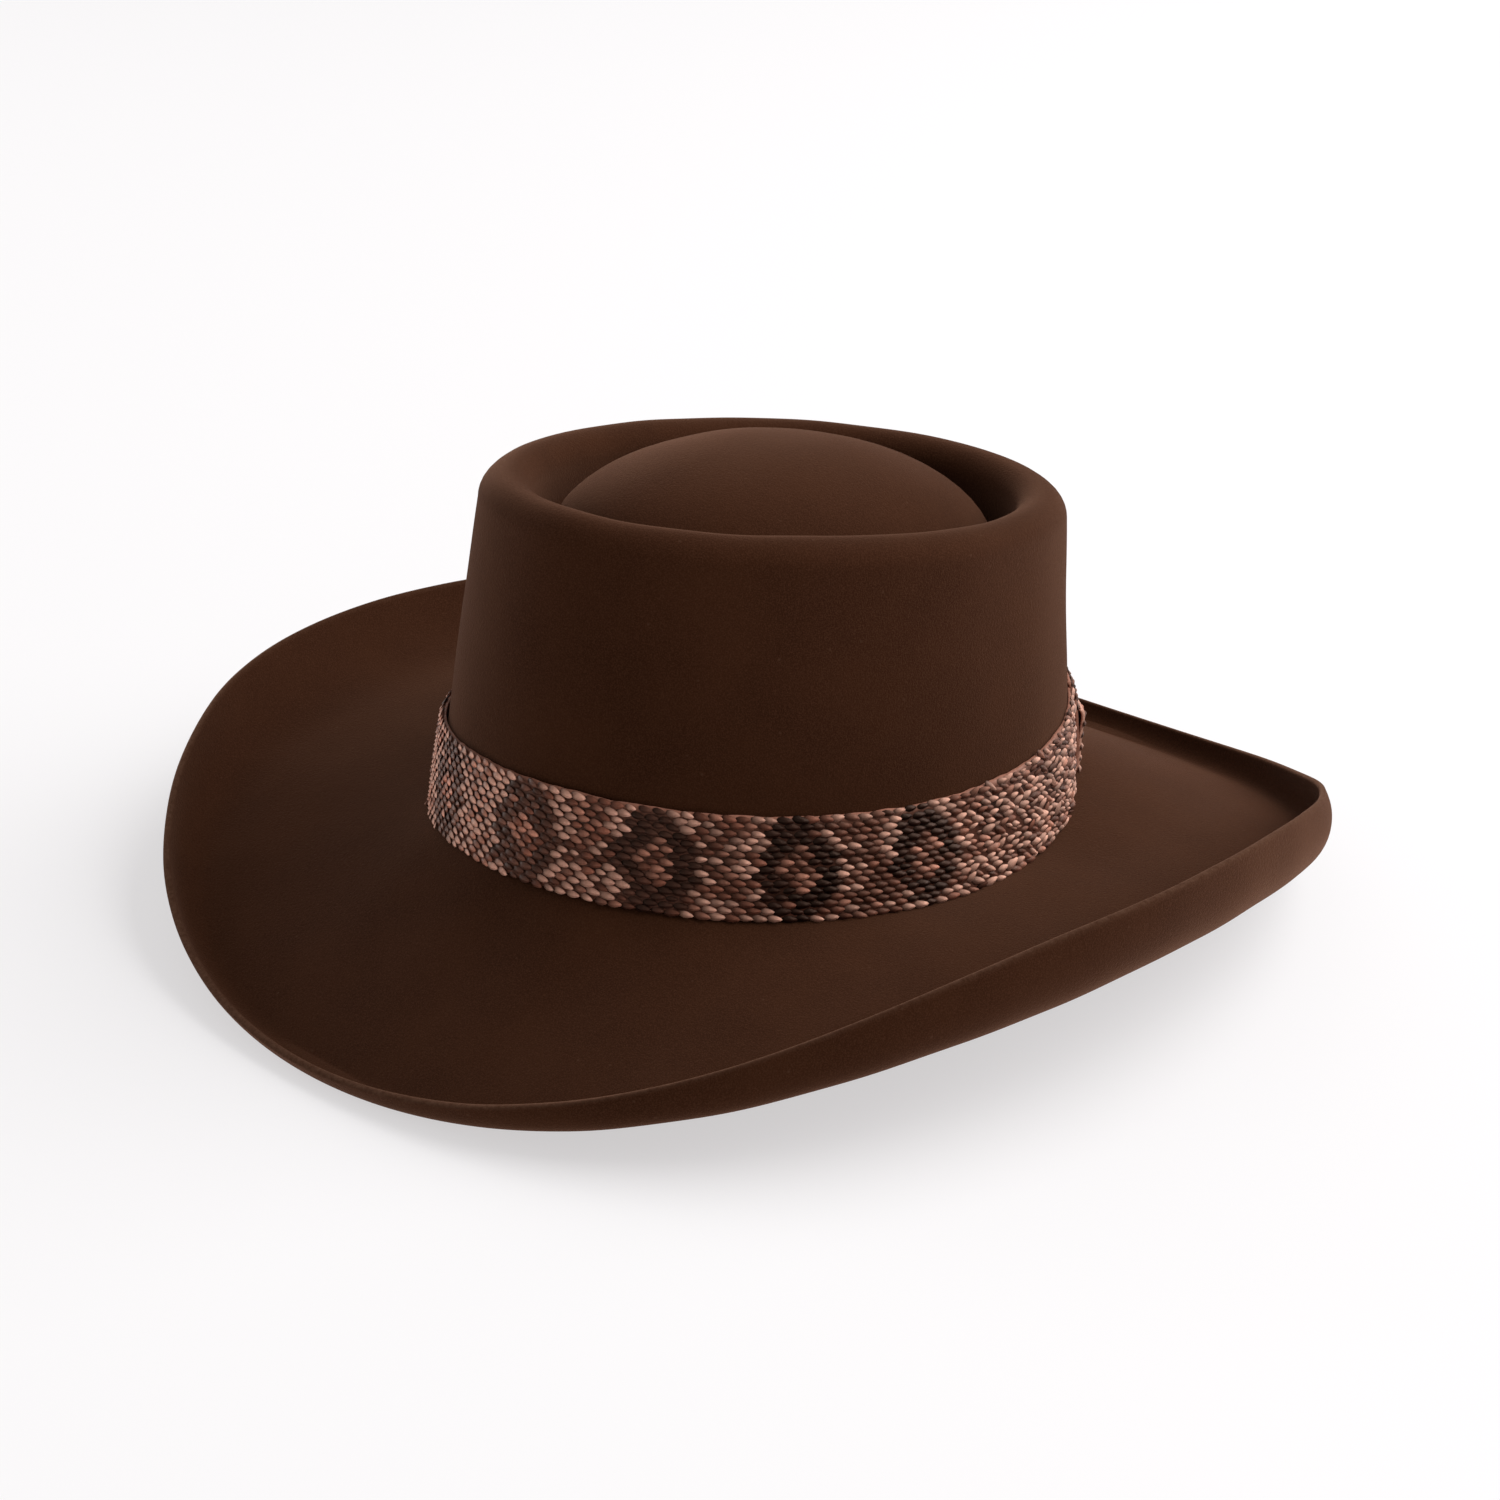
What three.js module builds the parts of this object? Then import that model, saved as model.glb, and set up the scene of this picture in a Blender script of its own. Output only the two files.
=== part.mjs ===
import * as THREE from 'three';

// A felt hat with a telescope crown, a snakeskin band and a wide brim with a rolled edge.
// Millimetres, +Z up. The front faces -Y and the wearer's left is +X. The hat rests on the
// front and the back of its brim, and the origin is on that surface under the middle of the box.

// Felt
const FELT = 2.2;
const HEAD_HALF_LENGTH = 102.8;
const HEAD_HALF_WIDTH = 88.2;

// Crown, over the line where it meets the brim
const CROWN_HEIGHT = 101.8;
const RIM_RADIUS = 7.8;
const GROOVE_DEPTH = 19;
const GROOVE_RADIUS = 3.2;
const DOME_RISE = 13;
const DOME_FORWARD = 17.5;
const DOME_FULLNESS = 0.62;

// Brim, measured along the felt from the crown to the cut edge
const BRIM_WIDTH = 92;
const JOINT_RADIUS = 1;
const EDGE_ROUNDING = 0.3;
const REST_FLAT = 0.8;
const REST_PRESS = 0.3;

// Band and its keeper
const BAND_HEIGHT = 29.6;
const BAND_THICKNESS = 1.3;
const BAND_CROWNING = 0.3;
const FIT_GAP = 0.3;
const KEEPER_WIDTH = 18;
const KEEPER_THICKNESS = 2.2;
const KEEPER_PLACE = 147;
const KEEPER_RISE = 3;

// Sizes that change around the hat. A row gives the value at the front, the wearer's left, the
// back, the wearer's right and midway between them. Lengths are shares of the size that is named
// behind the row, and slopes and turns are degrees.
const AROUND = {
  jointHeight: { front: 0.091, left: -0.033, back: -0.025, right: -0.033, midway: 0 }, // BRIM_WIDTH
  rimHeight: { front: 1.124, left: 1.007, back: 0.862, right: 1.007, midway: 1 }, // CROWN_HEIGHT
  lean: { front: 0.161, left: 0.144, back: -0.021, right: 0.144, midway: 0.107 }, // CROWN_HEIGHT
  width: { front: 0.94, left: 1.07, back: 0.909, right: 1.06, midway: 0.995 }, // BRIM_WIDTH
  curlLength: { front: 0.157, left: 0.486, back: 0.157, right: 0.486, midway: 0.271 }, // BRIM_WIDTH
  slopeAtCrown: { front: -38, left: 1, back: -21, right: 0, midway: -14.6 },
  slopeAtCurl: { front: -28, left: 3, back: -28.6, right: -2, midway: -11.7 },
  curlTurn: { front: 90, left: 92, back: 95, right: 48, midway: 108 },
};

// Facets: rows from the top of the dome to the cut edge of the brim, and columns round the hat
const ROWS = { dome: 6, groove: 4, rim: 6, wall: 3, joint: 3, brim: 4, curl: 8 };
const SEGMENTS = 60;
const STEPS_PER_ROW = 8;
const KEEPER_STEPS = 5;

const DEGREE = Math.PI / 180;

/** The value of a row of AROUND at an angle counted from the front towards the wearer's left. */
function around(row, angle) {
  const four = (row.front + row.back + row.left + row.right) / 4;
  const mean = (four + row.midway) / 2;
  const frontBack = (row.front - row.back) / 2;
  const leftRight = (row.left - row.right) / 2;
  const length = (row.front + row.back - row.left - row.right) / 4;
  const corners = (four - row.midway) / 2;
  return (
    mean +
    frontBack * Math.cos(angle) +
    leftRight * Math.sin(angle) +
    length * Math.cos(2 * angle) +
    corners * Math.cos(4 * angle)
  );
}

/** A point at a distance outwards from the oval where the crown meets the brim, at a height. */
function fromOval(angle, outwards, height) {
  const normal = new THREE.Vector2(HEAD_HALF_LENGTH * Math.sin(angle), -HEAD_HALF_WIDTH * Math.cos(angle));
  normal.normalize();
  return new THREE.Vector3(
    HEAD_HALF_WIDTH * Math.sin(angle) + normal.x * outwards,
    -HEAD_HALF_LENGTH * Math.cos(angle) + normal.y * outwards,
    height,
  );
}

/** The heights and the lean of the crown's wall at an angle. */
function wallAt(angle) {
  const foot = BRIM_WIDTH * around(AROUND.jointHeight, angle);
  const top = CROWN_HEIGHT * around(AROUND.rimHeight, angle);
  const lean = CROWN_HEIGHT * around(AROUND.lean, angle);
  return { foot, top, lean, insetAt: (height) => (lean * (height - foot)) / (top - foot) };
}

/** A closed half turn or bend as points (outwards, height), from one heading to another. */
function bend(centre, radius, from, to, steps) {
  const points = [];
  for (let i = 0; i <= steps; i++) {
    const turn = THREE.MathUtils.lerp(from, to, i / steps);
    points.push({
      outwards: centre.outwards + radius * Math.cos(turn),
      height: centre.height + radius * Math.sin(turn),
    });
  }
  return points;
}

/** The middle of the felt at one angle from the inside of the groove, over the rim and down the wall. */
function crownLine(angle) {
  const wall = wallAt(angle);
  const roll = { height: wall.top - RIM_RADIUS };
  roll.outwards = -wall.insetAt(roll.height) - RIM_RADIUS;
  const rollRadius = RIM_RADIUS - FELT / 2;
  const grooveRadius = GROOVE_RADIUS + FELT / 2;
  const groove = {
    outwards: roll.outwards - rollRadius - grooveRadius,
    height: wall.top - GROOVE_DEPTH + GROOVE_RADIUS,
  };
  const joint = { height: wall.foot + FELT + JOINT_RADIUS };
  joint.outwards = JOINT_RADIUS - wall.insetAt(joint.height);
  const slope = DEGREE * around(AROUND.slopeAtCrown, angle);
  const points = [
    ...bend(groove, grooveRadius, -Math.PI, 0, ROWS.groove),
    ...bend(roll, rollRadius, Math.PI, 0, ROWS.rim),
  ];
  for (let i = 1; i < ROWS.wall; i++) {
    const height = THREE.MathUtils.lerp(roll.height, joint.height, i / ROWS.wall);
    points.push({ outwards: -wall.insetAt(height) - FELT / 2, height });
  }
  points.push(...bend(joint, JOINT_RADIUS + FELT / 2, -Math.PI, slope - Math.PI / 2, ROWS.joint));
  return points;
}

/** The middle of the felt along the brim from a point: it sags from the crown and curls up at its edge. */
function brimLine(angle, start) {
  const width = BRIM_WIDTH * around(AROUND.width, angle);
  const curl = BRIM_WIDTH * around(AROUND.curlLength, angle);
  const slopeAtCrown = DEGREE * around(AROUND.slopeAtCrown, angle);
  const slopeAtCurl = DEGREE * around(AROUND.slopeAtCurl, angle);
  const turn = DEGREE * around(AROUND.curlTurn, angle);
  const flat = width - curl;
  const points = [];
  let { outwards, height } = start;
  for (let row = 0; row < ROWS.brim + ROWS.curl; row++) {
    const inCurl = row >= ROWS.brim;
    const from = inCurl ? flat + (curl * (row - ROWS.brim)) / ROWS.curl : (flat * row) / ROWS.brim;
    const step = (inCurl ? curl / ROWS.curl : flat / ROWS.brim) / STEPS_PER_ROW;
    for (let i = 0; i < STEPS_PER_ROW; i++) {
      const length = from + step * (i + 0.5);
      const sag = THREE.MathUtils.lerp(slopeAtCrown, slopeAtCurl, Math.min(length / flat, 1));
      const slope = sag + turn * THREE.MathUtils.smoothstep(length, flat, width);
      outwards += step * Math.cos(slope);
      height += step * Math.sin(slope);
    }
    points.push({ outwards, height });
  }
  return points;
}

/** The dome at one angle, from beside its top down to the groove. */
function domeLine(top, edge) {
  const points = [];
  for (let i = ROWS.dome - 1; i > 0; i--) {
    const share = Math.cos((Math.PI / 2) * (i / ROWS.dome));
    const point = top.clone().lerp(edge, share);
    point.z = edge.z + (top.z - edge.z) * Math.pow(1 - share * share, DOME_FULLNESS);
    points.push(point);
  }
  return points;
}

/** The middle surface of the felt: the dome's top, and a row of points for each ring below it. */
function feltSurface() {
  const top = new THREE.Vector3(0, -DOME_FORWARD, CROWN_HEIGHT + DOME_RISE - FELT / 2);
  const columns = [];
  for (let i = 0; i < SEGMENTS; i++) {
    const angle = (2 * Math.PI * i) / SEGMENTS;
    const crown = crownLine(angle);
    const line = [...crown, ...brimLine(angle, crown[crown.length - 1])];
    const points = line.map((point) => fromOval(angle, point.outwards, point.height));
    columns.push([...domeLine(top, points[0]), ...points]);
  }
  return { top, rows: columns[0].map((_, row) => columns.map((column) => column[row])) };
}

/** The move that sets the hat down level on the lowest points of its front and its back. */
function settingDown(surface) {
  const points = surface.rows.flat();
  const lowest = (side) => side.reduce((low, point) => (point.z < low.z ? point : low));
  const front = lowest(points.filter((point) => point.y < 0));
  const back = lowest(points.filter((point) => point.y > 0));
  const level = new THREE.Matrix4().makeRotationX(-Math.atan2(back.z - front.z, back.y - front.y));
  const ground = front.clone().applyMatrix4(level).z - FELT / 2 + REST_FLAT;
  return new THREE.Matrix4().makeTranslation(0, 0, -ground).multiply(level);
}

/** A body with the felt's thickness round the middle surface, flattened where it rests at z = 0. */
function feltGeometry(surface) {
  const { top, rows } = surface;
  const last = rows.length - 1;
  const normalAt = (row, i) => {
    const before = row > 0 ? rows[row - 1][i] : top;
    const along = rows[Math.min(row + 1, last)][i].clone().sub(before);
    const next = rows[row][(i + 1) % SEGMENTS];
    const across = next.clone().sub(rows[row][(i + SEGMENTS - 1) % SEGMENTS]);
    return along.cross(across).normalize();
  };
  const offset = (side) =>
    rows.map((row, index) =>
      row.map((point, i) => {
        const moved = point.clone().addScaledVector(normalAt(index, i), (side * FELT) / 2);
        return side < 0 ? moved.setZ(Math.max(moved.z, 0)) : moved;
      }),
    );
  const edge = rows[last].map((point, i) => {
    const out = point.clone().sub(rows[last - 1][i]).normalize();
    return point.clone().addScaledVector(out, EDGE_ROUNDING);
  });
  const rings = [...offset(1), edge, ...offset(-1).reverse()];
  const vertices = rings.flat();
  const outerTop = vertices.push(top.clone().setZ(top.z + FELT / 2)) - 1;
  const innerTop = vertices.push(top.clone().setZ(top.z - FELT / 2)) - 1;
  const index = [];
  const lastRing = (rings.length - 1) * SEGMENTS;
  for (let i = 0; i < SEGMENTS; i++) {
    const next = (i + 1) % SEGMENTS;
    index.push(outerTop, i, next);
    index.push(innerTop, lastRing + next, lastRing + i);
    for (let ring = 0; ring < lastRing; ring += SEGMENTS) {
      const below = ring + SEGMENTS;
      index.push(ring + i, below + i, below + next);
      index.push(ring + i, below + next, ring + next);
    }
  }
  return indexed(vertices, index);
}

/** A geometry from points and triangles. */
function indexed(vertices, index) {
  const geometry = new THREE.BufferGeometry().setFromPoints(vertices);
  geometry.setIndex(index);
  geometry.computeVertexNormals();
  return geometry;
}

/** A body through sections of equal length: a closed ring, or a strip with an end cap at each end. */
function loft(sections, outline, closed) {
  const size = outline.length;
  const index = [];
  const spans = closed ? sections.length : sections.length - 1;
  for (let s = 0; s < spans; s++) {
    const here = s * size;
    const there = ((s + 1) % sections.length) * size;
    for (let i = 0; i < size; i++) {
      const next = (i + 1) % size;
      index.push(here + i, there + i, there + next);
      index.push(here + i, there + next, here + next);
    }
  }
  if (!closed) {
    const flat = outline.map(([outwards, height]) => new THREE.Vector2(outwards, height));
    const far = spans * size;
    for (const [a, b, c] of THREE.ShapeUtils.triangulateShape(flat, [])) {
      index.push(a, b, c);
      index.push(far + a, far + c, far + b);
    }
  }
  return indexed(sections.flat(), index);
}

/** An outline (outwards from the crown's wall, height over the band's foot) set up at an angle. */
function sectionAt(angle, outline, move) {
  const wall = wallAt(angle);
  const foot = wall.foot + FELT + FIT_GAP;
  return outline.map(([outwards, height]) =>
    fromOval(angle, outwards - wall.insetAt(foot + height), foot + height).applyMatrix4(move),
  );
}

/** The band: a strip with folded, rounded edges, slightly crowned, closed round the crown's foot. */
function bandGeometry(move) {
  const corner = BAND_THICKNESS / 4;
  const inside = FIT_GAP;
  const outside = FIT_GAP + BAND_THICKNESS;
  const outline = [
    [inside + corner, 0],
    [outside - corner, 0],
    [outside, 2 * corner],
    [outside + BAND_CROWNING, BAND_HEIGHT / 2],
    [outside, BAND_HEIGHT - 2 * corner],
    [outside - corner, BAND_HEIGHT],
    [inside + corner, BAND_HEIGHT],
    [inside, BAND_HEIGHT - 2 * corner],
    [inside, 2 * corner],
  ];
  const sections = [];
  for (let i = 0; i < SEGMENTS; i++) {
    sections.push(sectionAt((2 * Math.PI * i) / SEGMENTS, outline, move));
  }
  return loft(sections, outline, true);
}

/** The keeper: a folded loop over the band's joint, with its top turned in over the band's edge. */
function keeperGeometry(move) {
  const inside = FIT_GAP + BAND_THICKNESS + BAND_CROWNING + FIT_GAP;
  const outside = inside + KEEPER_THICKNESS;
  const corner = KEEPER_THICKNESS / 4;
  const underTurn = BAND_HEIGHT + FIT_GAP;
  const top = BAND_HEIGHT + KEEPER_RISE;
  const outline = [
    [inside, FIT_GAP],
    [outside - corner, FIT_GAP],
    [outside, FIT_GAP + corner],
    [outside, top - corner],
    [outside - corner, top],
    [FIT_GAP + corner, top],
    [FIT_GAP, top - corner],
    [FIT_GAP, underTurn],
    [inside, underTurn],
  ];
  const centre = DEGREE * KEEPER_PLACE;
  const reach = Math.hypot(HEAD_HALF_WIDTH * Math.cos(centre), HEAD_HALF_LENGTH * Math.sin(centre));
  const sections = [];
  for (let i = 0; i <= KEEPER_STEPS; i++) {
    const angle = centre + (KEEPER_WIDTH / reach) * (i / KEEPER_STEPS - 0.5);
    sections.push(sectionAt(angle, outline, move));
  }
  return loft(sections, outline, false);
}

/** A named piece with its own material. */
function piece(name, geometry, color, roughness) {
  const material = new THREE.MeshStandardMaterial({ color, roughness, metalness: 0 });
  const mesh = new THREE.Mesh(geometry, material);
  mesh.name = name;
  return mesh;
}

/** The whole hat, set down level with the origin under the middle of its box. */
function hat() {
  const surface = feltSurface();
  const move = settingDown(surface);
  surface.top.applyMatrix4(move);
  for (const point of surface.rows.flat()) {
    point.applyMatrix4(move);
    point.z = Math.max(point.z, FELT / 2 - REST_PRESS);
  }
  const felt = piece('felt_body', feltGeometry(surface), 0x3a2012, 0.95);
  const group = new THREE.Group();
  group.add(felt);
  group.add(piece('snakeskin_band', bandGeometry(move), 0x6b4a3c, 0.55));
  group.add(piece('band_keeper', keeperGeometry(move), 0x4a2f25, 0.55));
  felt.geometry.computeBoundingBox();
  const middle = felt.geometry.boundingBox.getCenter(new THREE.Vector3());
  group.position.set(-middle.x, -middle.y, 0);
  return group;
}

export default hat();
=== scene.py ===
"""A wide brim felt hat with a telescope crown, a rolled brim and a rattlesnake skin band.

The hat stands on a pale floor with its front towards -Y and the wearer's left towards +X.
Shapes are worked out in millimetres, as the hat is measured, and put into the meshes in metres.
"""
import logging
from dataclasses import dataclass, field
from enum import Enum

import bpy
import numpy as np
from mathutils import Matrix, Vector


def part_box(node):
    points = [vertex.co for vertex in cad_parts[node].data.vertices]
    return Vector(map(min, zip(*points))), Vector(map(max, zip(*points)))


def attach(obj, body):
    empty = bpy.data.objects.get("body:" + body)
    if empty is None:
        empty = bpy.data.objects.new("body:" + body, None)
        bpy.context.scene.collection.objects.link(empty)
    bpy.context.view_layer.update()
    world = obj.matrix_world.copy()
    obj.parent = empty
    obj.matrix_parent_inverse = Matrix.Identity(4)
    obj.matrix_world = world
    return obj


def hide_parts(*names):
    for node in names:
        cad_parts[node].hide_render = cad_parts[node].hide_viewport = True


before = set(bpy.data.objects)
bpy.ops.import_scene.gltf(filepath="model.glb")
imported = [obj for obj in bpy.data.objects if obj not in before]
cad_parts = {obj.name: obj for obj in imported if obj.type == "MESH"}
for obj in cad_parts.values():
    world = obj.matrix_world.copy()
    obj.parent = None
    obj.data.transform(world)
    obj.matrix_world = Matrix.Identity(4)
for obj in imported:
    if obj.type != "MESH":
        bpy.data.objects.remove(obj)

LOG = logging.getLogger("hat")
MM = 0.001
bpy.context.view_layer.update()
FULL_TURN = 2.0 * np.pi

Rgb = tuple[float, float, float]
Rgba = tuple[float, float, float, float]
Socket = bpy.types.NodeSocket


class Slot(Enum):
    """The record's material slots."""

    FELT = "felt"
    SNAKESKIN = "snakeskin"
    KEEPER_SKIN = "keeper_skin"


def smooth_step(x: np.ndarray) -> np.ndarray:
    """The smooth step 3x^2 - 2x^3 of x held between 0 and 1."""
    held = np.clip(x, 0.0, 1.0)
    return held * held * (3.0 - 2.0 * held)


def quarter_round(distance: np.ndarray, radius: float) -> np.ndarray:
    """How far a folded edge has fallen back, on a circle: 1 at the edge, 0 from a radius away."""
    bent = np.clip(1.0 - distance / radius, 0.0, 1.0)
    return 1.0 - np.sqrt(1.0 - bent**2)


@dataclass(frozen=True)
class Waves:
    """A smooth random field: the mean of plane waves with random directions and lengths.

    The lengths lie between the longest and the shortest, in the units of the axes, and the seed
    picks the waves, so that each run gives the same field.
    """

    seed: int
    count: int
    longest: float
    shortest: float
    full_swing: float = 1.5

    def at(self, *axes: np.ndarray) -> np.ndarray:
        """The field's value: the sum of the sines of the distance along each wave's direction.

        Args:
            axes: coordinate arrays whose shapes fit together.

        Returns:
            An array of their common shape, about -1 to 1.
        """
        rng = np.random.default_rng(self.seed)
        total = np.zeros(np.broadcast(*axes).shape)
        for _ in range(self.count):
            direction = rng.normal(size=len(axes))
            direction /= np.linalg.norm(direction)
            length = self.shortest * (self.longest / self.shortest) ** rng.random()
            phase = sum(d * a for d, a in zip(direction, axes)) * (FULL_TURN / length)
            total += np.sin(phase + rng.random() * FULL_TURN)
        return total / np.sqrt(self.count) / self.full_swing


@dataclass(frozen=True)
class Around:
    """A size that changes round the hat, given at four sides and midway between them."""

    front: float
    left: float
    back: float
    right: float
    midway: float

    def at(self, angle: np.ndarray) -> np.ndarray:
        """The size at angles counted from the front towards the wearer's left.

        It is the sum of a mean, one cosine and one sine of the angle, the cosine of twice the
        angle and the cosine of four times the angle that meets the five values.

        Args:
            angle: angles in radians.

        Returns:
            The size at each angle.
        """
        four = (self.front + self.back + self.left + self.right) / 4
        corners = (four - self.midway) / 2
        oval = (self.front + self.back - self.left - self.right) / 4
        return (
            (four + self.midway) / 2
            + (self.front - self.back) / 2 * np.cos(angle)
            + (self.left - self.right) / 2 * np.sin(angle)
            + oval * np.cos(2 * angle)
            + corners * np.cos(4 * angle)
        )


class MeshPiece:
    """Puts arrays of points and faces into a Blender object at the origin."""

    @staticmethod
    def make(
        name: str,
        points: np.ndarray,
        faces: list[np.ndarray],
        material: bpy.types.Material,
        slot: Slot,
        replaces: tuple[str, ...] = (),
    ) -> bpy.types.Object:
        """Makes an object from points in millimetres and hands it to the frame.

        Args:
            name: the piece's name.
            points: an array of points, in millimetres.
            faces: arrays of faces with three or four corners each.
            material: the piece's finish.
            slot: the material slot that the finish belongs to; not used.
            replaces: names of the solids that the piece stands for.

        Returns:
            The new object.
        """
        mesh = bpy.data.meshes.new(name)
        corners = [face for group in faces for face in group.tolist()]
        mesh.from_pydata((points * MM).tolist(), [], corners)
        mesh.polygons.foreach_set("use_smooth", np.ones(len(corners), dtype=bool))
        mesh.materials.append(material)
        mesh.update()
        piece = bpy.data.objects.new(name, mesh)
        bpy.context.scene.collection.objects.link(piece)
        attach(piece, "root")
        if replaces:
            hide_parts(*replaces)
        return piece

    @staticmethod
    def paint(piece: bpy.types.Object, name: str, values: np.ndarray) -> None:
        """Stores a number or a colour for each point of a piece.

        Args:
            piece: the object.
            name: the attribute's name.
            values: one number, or one row of red, green and blue, for each point.
        """
        if values.ndim == 1:
            layer = piece.data.attributes.new(name, "FLOAT", "POINT")
            layer.data.foreach_set("value", values.astype(np.float32))
            return
        layer = piece.data.attributes.new(name, "FLOAT_COLOR", "POINT")
        opaque = np.concatenate([values, np.ones((len(values), 1))], axis=1)
        layer.data.foreach_set("color", opaque.astype(np.float32).ravel())


def ring_faces(rings: int, columns: int) -> np.ndarray:
    """Faces between closed rings of points that follow one another.

    Args:
        rings: how many rings there are.
        columns: how many points a ring has.

    Returns:
        Four corners for each face, facing to the left of the way from ring to ring.
    """
    ring, column = np.meshgrid(np.arange(rings - 1), np.arange(columns), indexing="ij")
    here = ring * columns + column
    beside = ring * columns + (column + 1) % columns
    return np.stack([here, here + columns, beside + columns, beside], axis=-1).reshape(-1, 4)


def fan_faces(centre: int, ring: np.ndarray, inwards: bool = False) -> np.ndarray:
    """Triangles from a centre point to a closed ring of points.

    Args:
        centre: the centre point's number.
        ring: the numbers of the ring's points in order.
        inwards: turns the triangles over.

    Returns:
        Three corners for each triangle.
    """
    following = np.roll(ring, -1)
    middle = np.full(len(ring), centre)
    order = [middle, following, ring] if inwards else [middle, ring, following]
    return np.stack(order, axis=-1)


def set_inputs(node: bpy.types.Node, values: dict[str, object]) -> None:
    """Sets a node's own sockets by name."""
    for name, value in values.items():
        node.inputs[name].default_value = value


class Nodes:
    """Short ways to add and join shader nodes in a material or a node group."""

    MIX_SOCKETS = (0, 6, 7)
    MIX_RESULT = 2

    def __init__(self, tree: bpy.types.NodeTree) -> None:
        """Keeps the tree that nodes are added to."""
        self.tree = tree

    def add(self, kind: str, **properties: object) -> bpy.types.Node:
        """Adds a node and sets its properties.

        Args:
            kind: the node's type name.
            properties: the node's properties by name.

        Returns:
            The new node.
        """
        node = self.tree.nodes.new(kind)
        for name, value in properties.items():
            setattr(node, name, value)
        return node

    def join(self, source: Socket, target: Socket) -> None:
        """Links an output to an input."""
        self.tree.links.new(source, target)

    def place(self) -> Socket:
        """The coordinate output of the object's own space."""
        return self.add("ShaderNodeTexCoord").outputs["Object"]

    def painted(self, name: str) -> bpy.types.Node:
        """A node that reads an attribute painted on the points."""
        return self.add("ShaderNodeAttribute", attribute_name=name)

    def noise(self, place: Socket, scale: float, detail: float = 2.0) -> Socket:
        """A noise value at a place.

        Args:
            place: the coordinate output.
            scale: how many noise cells a metre holds.
            detail: how many finer layers are added.

        Returns:
            The noise node's value output.
        """
        node = self.add("ShaderNodeTexNoise")
        set_inputs(node, {"Scale": scale, "Detail": detail})
        self.join(place, node.inputs["Vector"])
        return node.outputs[0]

    def blend(self, factor: Socket | float, low: object, high: object, way: str = "MIX") -> Socket:
        """Mixes two colours.

        Args:
            factor: an output or a number from 0 to 1.
            low: the colour at 0, as an output or as numbers.
            high: the colour at 1.
            way: the mix node's blend type.

        Returns:
            The mixed colour output.
        """
        node = self.add("ShaderNodeMix", data_type="RGBA", blend_type=way)
        for index, value in zip(self.MIX_SOCKETS, (factor, low, high)):
            if isinstance(value, Socket):
                self.join(value, node.inputs[index])
            else:
                node.inputs[index].default_value = value
        return node.outputs[self.MIX_RESULT]

    def combine(self, operation: str, first: Socket, second: Socket) -> Socket:
        """Adds or multiplies two values.

        Args:
            operation: the math node's operation.
            first: the first value output.
            second: the second value output.

        Returns:
            The result's output.
        """
        node = self.add("ShaderNodeMath", operation=operation)
        self.join(first, node.inputs[0])
        self.join(second, node.inputs[1])
        return node.outputs[0]

    def spread(self, value: Socket, low: float, high: float, start: float, end: float) -> Socket:
        """Maps a value from one range to another and holds it there.

        Args:
            value: the output to map.
            low: the value that gives start.
            high: the value that gives end.
            start: the result at low.
            end: the result at high.

        Returns:
            The mapped value output.
        """
        node = self.add("ShaderNodeMapRange")
        self.join(value, node.inputs[0])
        for socket, number in zip(node.inputs[1:5], (low, high, start, end)):
            socket.default_value = number
        return node.outputs[0]

    def relief(self, shader: bpy.types.Node, height: Socket, strength: float, depth: float) -> None:
        """Gives a shader fine bumps.

        Args:
            shader: the material's shader node.
            height: the height output.
            strength: how strongly the bumps turn the light.
            depth: their height in metres.
        """
        node = self.add("ShaderNodeBump")
        set_inputs(node, {"Strength": strength, "Distance": depth})
        self.join(height, node.inputs["Height"])
        self.join(node.outputs["Normal"], shader.inputs["Normal"])


def new_material(name: str) -> tuple[bpy.types.Material, Nodes, bpy.types.Node]:
    """A material with a Principled shader.

    Args:
        name: the material's name.

    Returns:
        The material, its node helper and the shader node.
    """
    material = bpy.data.materials.new(name)
    material.use_nodes = True
    return material, Nodes(material.node_tree), material.node_tree.nodes["Principled BSDF"]


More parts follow.
